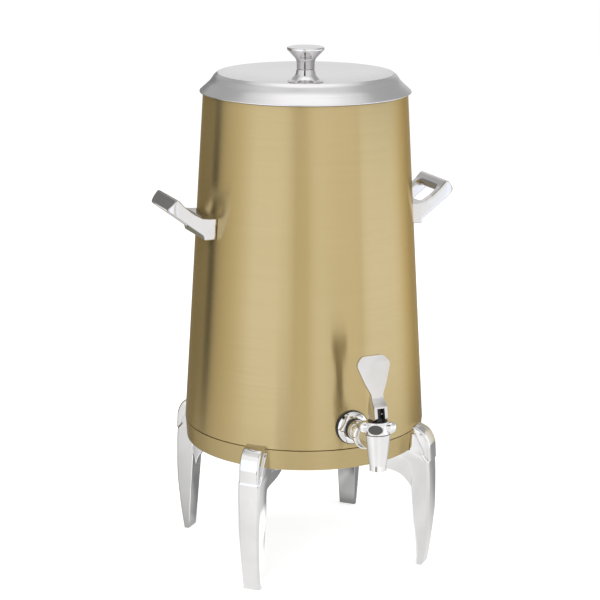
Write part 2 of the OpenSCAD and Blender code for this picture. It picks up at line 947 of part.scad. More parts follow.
module valve_stem() {
    color(black)
        on_tap()
            on_axis()
                difference() {
                    union() {
                        translate([0, 0, seat_z + 2.2])
                            cylinder(h = 16, r = 2.4);
                        translate([0, 0, 5])
                            cylinder(h = 1.5, r = 6.6);
                        translate([0, 0, 5])
                            cylinder(h = pin_z + 1, r = stem_r);
                    }
                    translate([-10, 0, pin_z])
                        rotate([0, 90, 0])
                            cylinder(h = 20, r = pin_r + run);
                }
}

module seat_cup() {
    color([0.85, 0.85, 0.85])
        on_tap()
            on_axis()
                difference() {
                    spin(rounded([
                        [0, seat_z, 0],
                        [7.2, seat_z, 0.4],
                        [7.2, seat_z + 2.4, 1],
                        [4, seat_z + 5, 0.6],
                        [0, seat_z + 5, 0]]));
                    translate([0, 0, seat_z + 2.1])
                        cylinder(h = 10, r = 2.5);
                }
}

spring_foot = 6.5;
module stem_spring() {
    turns = 8;
    wire = 0.9;
    rise = disc_foot - spring_foot - wire;
    color(steel)
        on_tap()
            on_axis()
                for (n = [0:turns])
                    translate([0, 0, spring_foot + wire / 2 + rise * n / turns])
                        rotate_extrude($fn = 48)
                            translate([5.9, 0])
                                circle(d = wire, $fn = 16);
}

// Point of the heel that meets the disc when the lever has turned by a:
// its distance from the pin along the stem grows evenly with the turn.
function heel(a) =
    let (h = heel_r + heel_rise * a * PI / 180)
    [-h * sin(a) - heel_rise * cos(a), -h * cos(a) + heel_rise * sin(a)];

module lever() {
    lean = 15;
    front = heel(pull_angle);
    color(chrome)
        on_tap()
            on_axis()
                translate([0, 0, pin_z])
                    difference() {
                        intersection() {
                            // Side outline: cam heel, cheeks and the paddle leaning back.
                            rotate([90, 0, 90])
                                translate([0, 0, -30])
                                    linear_extrude(height = 60)
                                        polygon(concat(
                                            [[5.6, -heel_r]],
                                            [for (i = [0:12]) heel(pull_angle * i / 12)],
                                            [
                                                [front[0] + 0.6, 3],
                                                [front[0] + 1.8, 9.5],
                                                [-1.6, 17],
                                                [-0.6 + (paddle_h - 20) * tan(lean), paddle_h],
                                                [2.6 + (paddle_h - 20) * tan(lean), paddle_h],
                                                [3.6, 22],
                                                [5.4, 14],
                                                [6.4, 8],
                                                [6.4, -heel_r + 1]]));
                            // Front outline: fork, neck and paddle.
                            rotate([90, 0, 0])
                                translate([0, 0, -60])
                                    linear_extrude(height = 120)
                                        polygon(rounded([
                                            [fork_w / 2, -heel_r - 1, 0],
                                            [fork_w / 2, 12, 3],
                                            [fork_w / 2 - 0.8, 21, 6],
                                            [paddle_w * 0.68, 33, 20],
                                            [paddle_w + 1, paddle_h - 8, 6],
                                            [paddle_w * 0.68, paddle_h, 8],
                                            [-paddle_w * 0.68, paddle_h, 8],
                                            [-paddle_w - 1, paddle_h - 8, 6],
                                            [-paddle_w * 0.68, 33, 20],
                                            [-fork_w / 2 + 0.8, 21, 6],
                                            [-fork_w / 2, 12, 3],
                                            [-fork_w / 2, -heel_r - 1, 0]]));
                        }
                        // Slot for the stem.
                        translate([-4.1, -30, -heel_r - 5])
                            cube([8.2, 60, heel_r + 13]);
                        translate([-20, 0, 0])
                            rotate([0, 90, 0])
                                cylinder(h = 40, r = pin_r + 0.01);
                    }
}

module lever_pin() {
    color(steel)
        on_tap()
            on_axis()
                translate([-fork_w / 2, 0, pin_z])
                    rotate([0, 90, 0])
                        cylinder(h = fork_w, r = pin_r);
}

outer_shell();
neck_collar();
inner_liner();
liner_base();
insulation();
base_band();
bottom_plate();
lid_cover();
lid_pan();
lid_insulation();
lid_seal();
knob_foot();
knob_head();
knob_screw();
at_leg(0) leg();  // leg_front_left
at_leg(1) leg();  // leg_front_right
at_leg(2) leg();  // leg_back_left
at_leg(3) leg();  // leg_back_right
at_leg(0) leg_cap();  // cap_front_left
at_leg(1) leg_cap();  // cap_front_right
at_leg(2) leg_cap();  // cap_back_left
at_leg(3) leg_cap();  // cap_back_right
leg_screws();
leg_nuts();
rotate([0, 0, 180]) handle();  // handle_left
handle();  // handle_right
handle_plates();
handle_screws();
tap_gasket();
tap_shank();
shank_ring();
liner_spud();
liner_washer();
jam_nut();
coupling_nut();
tap_seal();
tap_body();
wing_nut();
badge();
stem_guide();
stem_seal();
valve_stem();
seat_cup();
stem_spring();
lever();
lever_pin();
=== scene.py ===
import math

import bmesh
import bpy
from mathutils import Euler, Matrix, Vector


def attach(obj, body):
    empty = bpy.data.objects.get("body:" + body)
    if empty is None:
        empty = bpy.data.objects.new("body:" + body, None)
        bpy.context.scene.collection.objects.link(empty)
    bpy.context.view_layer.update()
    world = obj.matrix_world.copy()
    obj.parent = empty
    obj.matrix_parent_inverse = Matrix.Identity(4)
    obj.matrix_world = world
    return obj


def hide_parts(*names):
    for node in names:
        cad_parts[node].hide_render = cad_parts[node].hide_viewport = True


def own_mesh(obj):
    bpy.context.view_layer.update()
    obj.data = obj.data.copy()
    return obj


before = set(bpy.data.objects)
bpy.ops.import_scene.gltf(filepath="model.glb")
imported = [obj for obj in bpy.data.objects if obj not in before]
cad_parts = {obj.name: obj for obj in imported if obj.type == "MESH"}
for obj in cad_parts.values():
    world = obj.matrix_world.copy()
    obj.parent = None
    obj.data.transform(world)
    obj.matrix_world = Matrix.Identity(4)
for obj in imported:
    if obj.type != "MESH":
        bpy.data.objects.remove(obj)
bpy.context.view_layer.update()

mm = 0.001       # shapes are drawn in millimetres
closeBy = 1e-6   # points nearer than this, in metres, are one
onAxis = 0.001   # radius at which a turned piece closes, in millimetres


def smoothThrough(points, steps=6):
    # even curve through the given points, its ends kept
    out = []
    last = len(points) - 1
    for i in range(last):
        p0 = Vector(points[max(i - 1, 0)])
        p1 = Vector(points[i])
        p2 = Vector(points[i + 1])
        p3 = Vector(points[min(i + 2, last)])
        a = (p1 - p0).length ** 0.5 or 1
        b = (p2 - p1).length ** 0.5 or 1
        c = (p3 - p2).length ** 0.5 or 1
        leave = arrive = (p2 - p1) / b
        if i > 0:
            leave = (p1 - p0) / a - (p2 - p0) / (a + b) + (p2 - p1) / b
        if i < last - 1:
            arrive = (p2 - p1) / b - (p3 - p1) / (b + c) + (p3 - p2) / c
        leave, arrive = leave * b, arrive * b
        for k in range(steps):
            t = k / steps
            out.append(p1 * (2 * t ** 3 - 3 * t ** 2 + 1) + leave * (t ** 3 - 2 * t ** 2 + t)
                       + p2 * (-2 * t ** 3 + 3 * t ** 2) + arrive * (t ** 3 - t ** 2))
    out.append(Vector(points[-1]))
    return out


def roundedPath(points, steps=6):
    # [x, y, radius] corners become arcs; the two ends stay sharp
    out = []
    for i, point in enumerate(points):
        here = Vector(point[:2])
        radius = point[2] if len(point) > 2 else 0
        if not radius or i in (0, len(points) - 1):
            out.append(here)
            continue
        u = (Vector(points[i - 1][:2]) - here).normalized()
        v = (Vector(points[i + 1][:2]) - here).normalized()
        half = math.acos(max(-1, min(1, u.dot(v)))) / 2
        middle = here + (u + v).normalized() * (radius / math.sin(half))
        start = here + u * (radius / math.tan(half)) - middle
        end = here + v * (radius / math.tan(half)) - middle
        angle = math.atan2(start.y, start.x)
        turn = math.atan2(end.y, end.x) - angle
        turn = (turn + math.pi) % (2 * math.pi) - math.pi
        for k in range(steps + 1):
            a = angle + turn * k / steps
            out.append(middle + Vector((math.cos(a), math.sin(a))) * radius)
    return out


def settle(obj, angle=40):
    # smooth faces, with corners above the angle left crisp
    obj.data.shade_smooth()
    limit = math.radians(angle)
    mesh = bmesh.new()
    mesh.from_mesh(obj.data)
    for edge in mesh.edges:
        edge.smooth = len(edge.link_faces) == 2 and edge.calc_face_angle(0) < limit
    mesh.to_mesh(obj.data)
    mesh.free()


def dress(obj, body, finish, nodes):
    # finish and body of a piece, and the imported nodes that it stands for
    obj.data.materials.clear()
    obj.data.materials.append(finishes[finish])
    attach(obj, body)
    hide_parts(*nodes)


def makePiece(name, verts, faces, body, finish, nodes, angle=40):
    # clean mesh from points and faces, smoothed and dressed
    data = bpy.data.meshes.new(name)
    data.from_pydata([tuple(v) for v in verts], [], faces)
    data.validate()
    mesh = bmesh.new()
    mesh.from_mesh(data)
    bmesh.ops.remove_doubles(mesh, verts=mesh.verts, dist=closeBy)
    bmesh.ops.recalc_face_normals(mesh, faces=mesh.faces)
    mesh.to_mesh(data)
    mesh.free()
    obj = bpy.data.objects.new(name, data)
    bpy.context.scene.collection.objects.link(obj)
    settle(obj, angle)
    dress(obj, body, finish, nodes)
    return obj


def turned(name, profile, body, finish, nodes, segments, angle=40):
    # profile of [radius, height] in mm, turned round the upright axis
    verts, faces = [], []
    count = len(profile)
    for s in range(segments):
        a = 2 * math.pi * s / segments
        for r, z in profile:
            verts.append(Vector((r * math.cos(a), r * math.sin(a), z)) * mm)
    for s in range(segments):
        t = (s + 1) % segments
        for i in range(count - 1):
            faces.append((s * count + i, t * count + i, t * count + i + 1, s * count + i + 1))
    return makePiece(name, verts, faces, body, finish, nodes, angle)


def insetOf(outline):
    # at each point of a closed outline, the way inwards, longer at the corners
    count = len(outline)
    area = sum(outline[i].x * outline[(i + 1) % count].y - outline[(i + 1) % count].x * outline[i].y
               for i in range(count))
    sign = 1 if area > 0 else -1
    inward = []
    for i in range(count):
        before = (outline[i] - outline[i - 1]).normalized()
        after = (outline[(i + 1) % count] - outline[i]).normalized()
        n1 = Vector((-before.y, before.x)) * sign
        n2 = Vector((-after.y, after.x)) * sign
        middle = n1 + n2
        middle = middle.normalized() if middle.length > closeBy else n1
        inward.append(middle / max(0.5, middle.dot(n1)))
    return inward


def castShell(outline, halfWidth, edge, place, steps=5):
    # solid from a closed side outline: rounded edges, width and edge radius by point
    count = len(outline)
    inward = insetOf(outline)
    layers = [(-1, k) for k in range(steps, -1, -1)] + [(1, k) for k in range(steps + 1)]
    verts, faces = [], []
    for side, k in layers:
        t = math.pi / 2 * k / steps
        for i, point in enumerate(outline):
            r = edge(point)
            at = point + inward[i] * (r * (1 - math.cos(t)))
            y = side * (halfWidth(point) - r * (1 - math.sin(t)))
            verts.append(place @ (Vector((at.x, y, at.y)) * mm))
    for k in range(len(layers) - 1):
        for i in range(count):
            j = (i + 1) % count
            faces.append((k * count + i, k * count + j, (k + 1) * count + j, (k + 1) * count + i))
    faces.append(tuple(range(count)))
    faces.append(tuple(range(len(verts) - count, len(verts))))
    return verts, faces


def joinShells(*shells):
    # several solids as one
    verts, faces = [], []
    for some, more in shells:
        base = len(verts)
        verts += some
        faces += [tuple(base + i for i in face) for face in more]
    return verts, faces


def copyOf(node, name):
    obj = bpy.data.objects.new(name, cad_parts[node].data.copy())
    bpy.context.scene.collection.objects.link(obj)
    return obj


def softened(name, node, body, finish, values):
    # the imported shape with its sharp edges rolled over
    obj = copyOf(node, name)
    mesh = bmesh.new()
    mesh.from_mesh(obj.data)
    bmesh.ops.remove_doubles(mesh, verts=mesh.verts, dist=2 * closeBy)
    flat = math.radians(values["flatBelow"])
    bmesh.ops.dissolve_limit(mesh, angle_limit=flat, verts=mesh.verts, edges=mesh.edges)
    sharp = [e for e in mesh.edges
             if len(e.link_faces) == 2 and e.calc_face_angle(0) > math.radians(values["sharpAbove"])]
    bmesh.ops.bevel(mesh, geom=sharp, offset=values["edge"] * mm, segments=3, profile=0.5,
                    affect="EDGES", clamp_overlap=True)
    mesh.to_mesh(obj.data)
    mesh.free()
    settle(obj, angle=30)
    dress(obj, body, finish, [node])
    return obj


def castRound(name, node, body, finish, values):
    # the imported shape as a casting: every edge and corner melted a little
    obj = copyOf(node, name)
    cells = obj.modifiers.new("cells", "REMESH")
    cells.mode = "VOXEL"
    cells.voxel_size = values["grain"] * mm
    ease = obj.modifiers.new("ease", "SMOOTH")
    ease.factor = 0.5
    ease.iterations = values["passes"]
    seen = obj.evaluated_get(bpy.context.evaluated_depsgraph_get())
    data = bpy.data.meshes.new_from_object(seen)
    obj.modifiers.clear()
    obj.data = data
    data.shade_smooth()
    dress(obj, body, finish, [node])
    return obj


def valueNode(tree, operation, *values):
    # sum, product or the like, from numbers and other nodes
    node = tree.nodes.new("ShaderNodeMath")
    node.operation = operation
    for n, value in enumerate(values):
        if isinstance(value, (int, float)):
            node.inputs[n].default_value = value
        else:
            tree.links.new(value, node.inputs[n])
    return node.outputs[0]


def placeOf(tree):
    # x, y and z on the object
    spot = tree.nodes.new("ShaderNodeTexCoord")
    where = tree.nodes.new("ShaderNodeSeparateXYZ")
    tree.links.new(spot.outputs["Object"], where.inputs[0])
    return where.outputs


def distanceOf(tree, x, y):
    # from the upright axis
    across = valueNode(tree, "MULTIPLY", x, x)
    along = valueNode(tree, "MULTIPLY", y, y)
    return valueNode(tree, "SQRT", valueNode(tree, "ADD", across, along))


def angleOf(tree, x, y):
    # round the upright axis, in degrees
    return valueNode(tree, "MULTIPLY", valueNode(tree, "ARCTAN2", y, x), 180 / math.pi)


def mixColours(tree, share, a, b, kind="MIX"):
    node = tree.nodes.new("ShaderNodeMix")
    node.data_type = "RGBA"
    node.blend_type = kind
    for socket, value in ((0, share), (6, a), (7, b)):
        if isinstance(value, tuple):
            node.inputs[socket].default_value = (*value, 1)
        elif isinstance(value, (int, float)):
            node.inputs[socket].default_value = value
        else:
            tree.links.new(value, node.inputs[socket])
    return node.outputs[2]


def mixShaders(tree, share, a, b):
    node = tree.nodes.new("ShaderNodeMixShader")
    tree.links.new(share, node.inputs[0])
    tree.links.new(a, node.inputs[1])
    tree.links.new(b, node.inputs[2])
    return node.outputs[0]


class Finish:
    # one material, built on the shader that it starts with
    def __init__(self, name):
        self.material = bpy.data.materials.new(name)
        self.material.use_nodes = True
        self.tree = self.material.node_tree
        self.shader = self.tree.nodes["Principled BSDF"]

    def link(self, a, b):
        self.tree.links.new(a, b)

    def put(self, name, value):
        self.shader.inputs[name].default_value = value

    def spread(self, scale):
        # the same all ways, or by x, y and z
        where = self.tree.nodes.new("ShaderNodeTexCoord")
        mapping = self.tree.nodes.new("ShaderNodeMapping")
        mapping.inputs["Scale"].default_value = scale if isinstance(scale, tuple) else (scale,) * 3
        self.link(where.outputs["Object"], mapping.inputs["Vector"])
        return mapping.outputs["Vector"]

    def rings(self, width):
        # round and round the upright axis, as a spun or turned sheet is brushed
        x, y, z = placeOf(self.tree)
        far = distanceOf(self.tree, x, y)
        made = self.tree.nodes.new("ShaderNodeCombineXYZ")
        self.link(valueNode(self.tree, "MULTIPLY", far, width), made.inputs[0])
        self.link(valueNode(self.tree, "ARCTAN2", y, x), made.inputs[1])
        self.link(valueNode(self.tree, "MULTIPLY", z, width), made.inputs[2])
        return made.outputs[0]

    def noise(self, vector, detail):
        node = self.tree.nodes.new("ShaderNodeTexNoise")
        node.inputs["Scale"].default_value = 1
        node.inputs["Detail"].default_value = detail
        self.link(vector, node.inputs["Vector"])
        return node.outputs["Fac"]

    def ranged(self, value, between, over=(0.3, 0.7)):
        node = self.tree.nodes.new("ShaderNodeMapRange")
        for key, number in zip(("From Min", "From Max", "To Min", "To Max"), (*over, *between)):
            node.inputs[key].default_value = number
        self.link(value, node.inputs["Value"])
        return node.outputs["Result"]

    def coloured(self, value, values, over=(0.3, 0.7)):
        # tint where the value is low, deep where it is high
        colour = mixColours(self.tree, self.ranged(value, (0, 1), over), values["tint"], values["deep"])
        self.link(colour, self.shader.inputs["Base Color"])

    def rough(self, value, values):
        self.link(self.ranged(value, values["roughness"]), self.shader.inputs["Roughness"])

    def brushedRound(self, stretch):
        # brushed round the upright axis, so that reflections run up and down
        way = self.tree.nodes.new("ShaderNodeTangent")
        way.direction_type = "RADIAL"
        way.axis = "Z"
        self.link(way.outputs[0], self.shader.inputs["Tangent"])
        self.put("Anisotropic", stretch)
        self.put("Anisotropic Rotation", 0.25)

    def bump(self, height, strength, depth):
        node = self.tree.nodes.new("ShaderNodeBump")
        node.inputs["Strength"].default_value = strength
        node.inputs["Distance"].default_value = depth
        self.link(height, node.inputs["Height"])
        self.link(node.outputs["Normal"], self.shader.inputs["Normal"])


# finishes: colours waver between tint and deep, roughness between its two values
gold = {
    "tint": (0.50, 0.393, 0.20),
    "deep": (0.475, 0.372, 0.182),
    "edge": (0.85, 0.7, 0.45),
    "roughness": (0.20, 0.25),
    "metal": 0.78,        # the rest is the lacquer's own colour
    "stretch": 0.9,       # how far reflections run up and down, across the brushing
    "lines": 2400,        # brush lines per metre of height
    "lineShare": 0.6,     # in the colour
    "clouds": (9, 9, 5),  # per metre, by x, y and z
    "cloudShare": 0.4,
}


def brushedGold(name, values):
    metal = Finish(name)
    lines = metal.noise(metal.rings(values["lines"]), detail=3)
    clouds = metal.noise(metal.spread(values["clouds"]), detail=2)
    clouded = valueNode(metal.tree, "MULTIPLY", clouds, values["cloudShare"])
    both = valueNode(metal.tree, "MULTIPLY_ADD", lines, values["lineShare"], clouded)
    metal.coloured(both, values, over=(0.38, 0.62))
    metal.rough(lines, values)
    metal.put("Metallic", values["metal"])
    metal.put("Specular Tint", (*values["edge"], 1))
    metal.brushedRound(values["stretch"])
    return metal.material


satin = {
    "tint": (0.745, 0.735, 0.74),
    "deep": (0.715, 0.705, 0.71),
    "roughness": (0.21, 0.28),
    "rings": 1600,        # per metre from the middle
    "relief": 0.015,
}
plainSteel = {
    "tint": (0.62, 0.61, 0.60),
    "deep": (0.50, 0.49, 0.48),
    "roughness": (0.31, 0.38),
    "grain": 900,
    "relief": 0.05,
}


def satinSteel(name, values):
    metal = Finish(name)
    way = metal.rings(values["rings"]) if "rings" in values else metal.spread(values["grain"])
    grain = metal.noise(way, detail=3)
    metal.coloured(grain, values)
    metal.rough(grain, values)
    metal.put("Metallic", 1.0)
    metal.bump(grain, values["relief"], depth=0.0001)
    return metal.material


# all polished metals waver alike: clouds and fine grain per metre, relief of the clouds
polish = {"clouds": 45, "fine": 700, "relief": 0.08, "depth": 0.0006}
polished = {"tint": (0.80, 0.795, 0.79), "deep": (0.75, 0.745, 0.74), "roughness": (0.035, 0.085)}
legMetal = {"tint": (0.735, 0.728, 0.722), "deep": (0.69, 0.685, 0.68), "roughness": (0.035, 0.085)}
turnedMetal = {"tint": (0.74, 0.73, 0.73), "deep": (0.70, 0.69, 0.69), "roughness": (0.02, 0.07)}
castMetal = {"tint": (0.66, 0.645, 0.635), "deep": (0.61, 0.595, 0.585), "roughness": (0.085, 0.135)}


def polishedMetal(name, values):
    metal = Finish(name)
    clouds = metal.noise(metal.spread(polish["clouds"]), detail=3)
    fine = metal.noise(metal.spread(polish["fine"]), detail=2)
    metal.coloured(clouds, values, over=(0.35, 0.75))
    metal.rough(fine, values)
    metal.put("Metallic", 1.0)
    metal.bump(clouds, polish["relief"], polish["depth"])
    return metal.material


blackRubber = {"tint": (0.012, 0.012, 0.013), "deep": (0.03, 0.03, 0.032), "roughness": (0.49, 0.63),
               "grain": 900, "depth": 0.0001}
blackPlastic = {"tint": (0.010, 0.010, 0.011), "deep": (0.022, 0.022, 0.023), "roughness": (0.24, 0.38),
                "grain": 1500, "depth": 0.00004}
paleSilicone = {"tint": (0.62, 0.61, 0.58), "deep": (0.52, 0.51, 0.48), "roughness": (0.44, 0.58),
                "grain": 700, "depth": 0.00005}
foamWrap = {"tint": (0.72, 0.66, 0.50), "deep": (0.58, 0.51, 0.36), "roughness": (0.84, 0.98),
            "grain": 350, "depth": 0.0012}
plaque = {"tint": (0.10, 0.10, 0.10), "deep": (0.06, 0.06, 0.06), "roughness": (0.24, 0.38),
          "grain": 1200, "depth": 0.00003}


def plainStuff(name, values):
    stuff = Finish(name)
    grain = stuff.noise(stuff.spread(values["grain"]), detail=4)
    stuff.coloured(grain, values)
    stuff.rough(grain, values)
    stuff.bump(grain, 0.25, values["depth"])
    return stuff.material


finishes = {
    "gold": brushedGold("brushed_gold", gold),
    "lid": satinSteel("satin_steel", satin),
    "chrome": polishedMetal("polished_chrome", polished),
    "leg": polishedMetal("leg_metal", legMetal),
    "cast": polishedMetal("cast_metal", castMetal),
    "turned": polishedMetal("turned_metal", turnedMetal),
    "steel": satinSteel("mill_steel", plainSteel),
    "rubber": plainStuff("black_rubber", blackRubber),
    "plastic": plainStuff("black_plastic", blackPlastic),
    "silicone": plainStuff("pale_silicone", paleSilicone),
    "foam": plainStuff("foam_wrap", foamWrap),
    "badge": plainStuff("dark_plaque", plaque),
}
# imported nodes by finish; all the others are chrome
nodesWith = {
    "gold": ("outer_shell", "base_band"),
    "lid": ("lid_cover",),
    "cast": ("handle_left", "handle_right", "lever"),
    "turned": ("knob_foot", "knob_head"),
    "steel": ("lid_pan", "inner_liner", "liner_base", "bottom_plate", "knob_screw", "leg_screws",
              "leg_nuts", "handle_plates", "handle_screws", "liner_spud", "jam_nut", "stem_spring",
              "lever_pin"),
    "rubber": ("lid_seal", "tap_gasket", "shank_ring", "liner_washer", "tap_seal", "stem_seal"),
    "plastic": ("neck_collar", "stem_guide", "valve_stem"),
    "silicone": ("seat_cup",),
    "foam": ("insulation", "lid_insulation"),
    "badge": ("badge",),
}
for nodeName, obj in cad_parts.items():
    finish = next((kind for kind, names in nodesWith.items() if nodeName in names), "chrome")
    if not obj.material_slots:
        obj.data.materials.append(finishes[finish])
    for place in obj.material_slots:
        place.material = finishes[finish]
print("finishes ready")

# a leg is drawn from the side, as distance from the drum's axis and height
leg = {
    "front": 155.2,       # outer face
    "back": 133.9,        # inner face
    "inside": 131.6,      # the top's side towards the drum
    "baseHeight": 134.7,
    "seamHeight": 156.8,
    "shoulder": 3.1,      # how far the top stays below the seam
    "width": 27,
    "footWidth": 20,
    "ribWidth": 8,
    "armEnd": 60,         # under the base, towards the middle
    "armThickness": 7.7,
    "outerEdge": 3.2,
    "innerEdge": 1.1,
    "topEdge": 0.5,
    "armEdge": 0.8,
    "ribEdge": 1.2,
}
cap = {
    "width": 22.6,
    "edge": 2.4,
    "bedEdge": 0.15,      # where it lies on the leg
    "inside": 131.8,
    "rise": 4,            # above the seam, on the inside
}


def legHalf(point):
    # half the width: full at the seam, narrower towards the foot
    f = max(0, point.y) / leg["seamHeight"]
    grow = min(1, 1.5 * f - 0.55 * f * f)
    return (leg["footWidth"] + (leg["width"] - leg["footWidth"]) * grow) / 2


def capBed():
    # face on which the cap lies
    f, h, s = leg["front"], leg["baseHeight"], leg["seamHeight"]
    return smoothThrough([(f - 1.5, h - 10.8), (f - 4.4, h - 7.6), (f - 6.8, h - 4.2), (f - 8, h),
                          (f - 12.6, s - 13.8), (f - 17.4, s - 5.2), (f - 19.6, s - leg["shoulder"])])


def legShape(place):
    f, b, h, s = leg["front"], leg["back"], leg["baseHeight"], leg["seamHeight"]
    low = h - leg["armThickness"]
    outer = smoothThrough([(f - 7.2, 1.2), (f - 5.7, h * 0.075), (f - 3.2, h * 0.22),
                           (f - 1.2, h * 0.37), (f, h * 0.48), (f - 0.3, h - 28), (f - 1.2, h - 12.4)])
    inner = smoothThrough([(b - 12, low), (b - 8, h - 11.5), (b - 4.5, h - 15.5), (b - 1.8, h - 21),
                           (b + 0.2, h - 29), (b + 0.1, h * 0.67), (b + 1.8, h * 0.5), (b + 3.9, h * 0.3),
                           (f - 14.1, 1.2)])
    foot = [Vector((f - 13.4, 0)), Vector((f - 8.2, 0))]
    back = [Vector((leg["inside"] + 1, s - leg["shoulder"])), Vector((leg["inside"], h)),
            Vector((b - 12, h))]
    middle = (f + b) / 2

    def edge(point):
        if point.y > h - 3:
            return leg["topEdge"]
        return leg["outerEdge"] if point.x > middle + 3 * (1 - point.y / h) else leg["innerEdge"]

    column = castShell(foot + outer + capBed() + back + inner, legHalf, edge, place)
    plank = [(leg["armEnd"], low), (b - 4, low), (b - 4, h), (leg["armEnd"], h)]
    arm = castShell([Vector(p) for p in plank],
                    lambda p: leg["width"] / 2 - 1, lambda p: leg["armEdge"], place)
    web = smoothThrough([(b + 1, h * 0.56), (b - 2.9, h - 46.7), (b - 9.9, h - 37.7), (b - 16.9, h - 32.7),
                         (b - 26, h - 29.9), (b - 50, h - 26), (b - 64, h - 20), (leg["armEnd"] + 4, low)])
    rib = castShell(web + [Vector((b + 1, low))],
                    lambda p: leg["ribWidth"] / 2, lambda p: leg["ribEdge"], place)
    return joinShells(column, arm, rib)


def capShape(place):
    f, h, s = leg["front"], leg["baseHeight"], leg["seamHeight"]
    face = smoothThrough([(f - 15.6, s + 3.2), (f - 11, s + 1), (f - 7.5, s - 1.6), (f - 4.6, s - 5.8),
                          (f - 2.6, s - 9.8), (f - 1.1, s - 15), (f - 0.2, h - 4.7), (f + 0.1, h - 10.8)])
    back = [Vector((cap["inside"], s - leg["shoulder"])), Vector((cap["inside"], s + cap["rise"]))]
    rolled = {(round(p.x, 4), round(p.y, 4)) for p in face}

    def edge(point):
        return cap["edge"] if (round(point.x, 4), round(point.y, 4)) in rolled else cap["bedEdge"]

    return castShell(capBed() + back + face, lambda p: cap["width"] / 2, edge, place)


for where, turn in (("front_left", -135), ("front_right", -45), ("back_left", 135), ("back_right", 45)):
    spot = Matrix.Rotation(math.radians(turn), 4, "Z")
    makePiece(f"cast_leg_{where}", *legShape(spot), "urn", "leg", [f"leg_{where}"], angle=35)
    makePiece(f"cast_cap_{where}", *capShape(spot), "urn", "leg", [f"cap_{where}"], angle=35)
print("legs and caps made")

# size of the cells that a grip is melted into, and rounds of easing
grip = {"grain": 0.8, "passes": 14}
for side in ("left", "right"):
    castRound(f"cast_grip_{side}", f"handle_{side}", "urn", "cast", grip)
print("grips made")

lid = {
    "height": 523.6,      # of the rim's lower edge
    "rise": 20.5,         # from there to the ridge
    "radius": 114.9,
    "ridge": 95.3,        # radius of the ridge
    "dish": 10.6,         # how deep the middle lies
    "sheet": 1.2,
    "segments": 192,
}


def lidCover():
    z, r, d = lid["height"], lid["ridge"], lid["dish"]
    low = z + lid["rise"] - d
    steps = 8
    dish = smoothThrough([(onAxis, low), (r * 0.25, low + d * 0.03), (r * 0.5, low + d * 0.22),
                          (r * 0.75, low + d * 0.54), (r - 7, low + d * 0.87)], steps)
    rim = roundedPath([(r - 7, low + d * 0.87), (r, z + lid["rise"], 2), (r + 4, z + lid["rise"] - 3, 9),
                       (r + 8.4, z + lid["rise"] - 9.6, 26), (lid["radius"], z + 0.8, 0.5),
                       (lid["radius"], z)], steps)
    top = dish + rim[1:]
    under = [Vector((max(onAxis, p.x - 0.35), p.y - lid["sheet"])) for p in top[:-steps]]
    under.append(Vector((lid["radius"] - lid["sheet"], z)))
    return top + under[::-1]


turned("spun_lid_cover", lidCover(), "lid", "lid", ["lid_cover"], lid["segments"])

knob = {
    "height": 38.4,
    "radius": 20.2,
    "waist": 9.9,
    "foot": 19.7,
    "bore": 3.05,         # of the foot, round the screw
    "jointAt": 0.36,      # share of the height
    "gap": 0.05,          # in the joint
    "segments": 96,
}


def knobFoot(low):
    foot, waist, joint = knob["foot"], knob["waist"], low + knob["height"] * knob["jointAt"]
    return [(knob["bore"], low)] + roundedPath([
        (foot - 0.4, low), (foot, low + 0.8, 0.3), (foot - 4.4, low + 2.9, 5), (waist + 1.2, low + 7.5, 6),
        (waist, joint - 0.3, 0.3), (waist - 0.6, joint)]) + [(knob["bore"], joint)]


def knobHead(low):
    radius, waist, joint = knob["radius"], knob["waist"], low + knob["height"] * knob["jointAt"]
    top = low + knob["height"]
    return [(onAxis, joint + knob["gap"])] + roundedPath([
        (waist - 0.6, joint + knob["gap"]), (waist - 0.1, joint + 0.6, 0.3),
        (waist, low + knob["height"] * 0.62, 9), (radius, top - 3.6, 1), (radius, top - 0.9, 0.9),
        (radius - 3, top - 0.2, 3), (onAxis, top)])


onLid = lid["height"] + lid["rise"] - lid["dish"]   # the dished middle, where the knob stands
turned("knob_foot_turned", knobFoot(onLid), "lid", "turned", ["knob_foot"], knob["segments"], angle=50)
turned("knob_head_turned", knobHead(onLid), "lid", "turned", ["knob_head"], knob["segments"], angle=50)
print("lid and knob made")

# edges sharper than the first angle are rolled over, flatter than the second dropped
lever = {"edge": 0.8, "sharpAbove": 28, "flatBelow": 0.6}
softened("lever_cast", "lever", "lever", "cast", lever)

# the tap leans with the shell, and the stem runs along its upright axis
tap = {
    "tilt": math.radians(3.5139),
    "shellY": -132.314,   # of the shell, at the tap's height
    "height": 181,
    "reach": 66.1,        # from the shell to the stem
}
tapAxis = (Matrix.Translation(Vector((0, tap["shellY"], tap["height"])) * mm)
           @ Matrix.Rotation(-tap["tilt"], 4, "X")
           @ Matrix.Translation(Vector((0, -tap["reach"], 0)) * mm))
# wound spring between the stem's shoulder and the disc
spring = {
    "radius": 5.9,
    "wire": 0.9,
    "foot": 6.5,          # lower end, by height in the tap
    "top": 19.8,
    "turns": 8,
    "endPitch": 1.0,      # of the first and the last turn
    "travel": 3.7,        # of the stem, with the lever
    "around": 36,         # rings of points in a turn
    "sides": 8,
}


def springHeight(turn):
    rise = spring["top"] - spring["foot"] - spring["wire"]
    pitch = (rise - 2 * spring["endPitch"]) / (spring["turns"] - 2)
    ends = min(turn, 1) + max(0, turn - spring["turns"] + 1)
    return spring["foot"] + spring["wire"] / 2 + spring["endPitch"] * ends + pitch * (turn - ends)


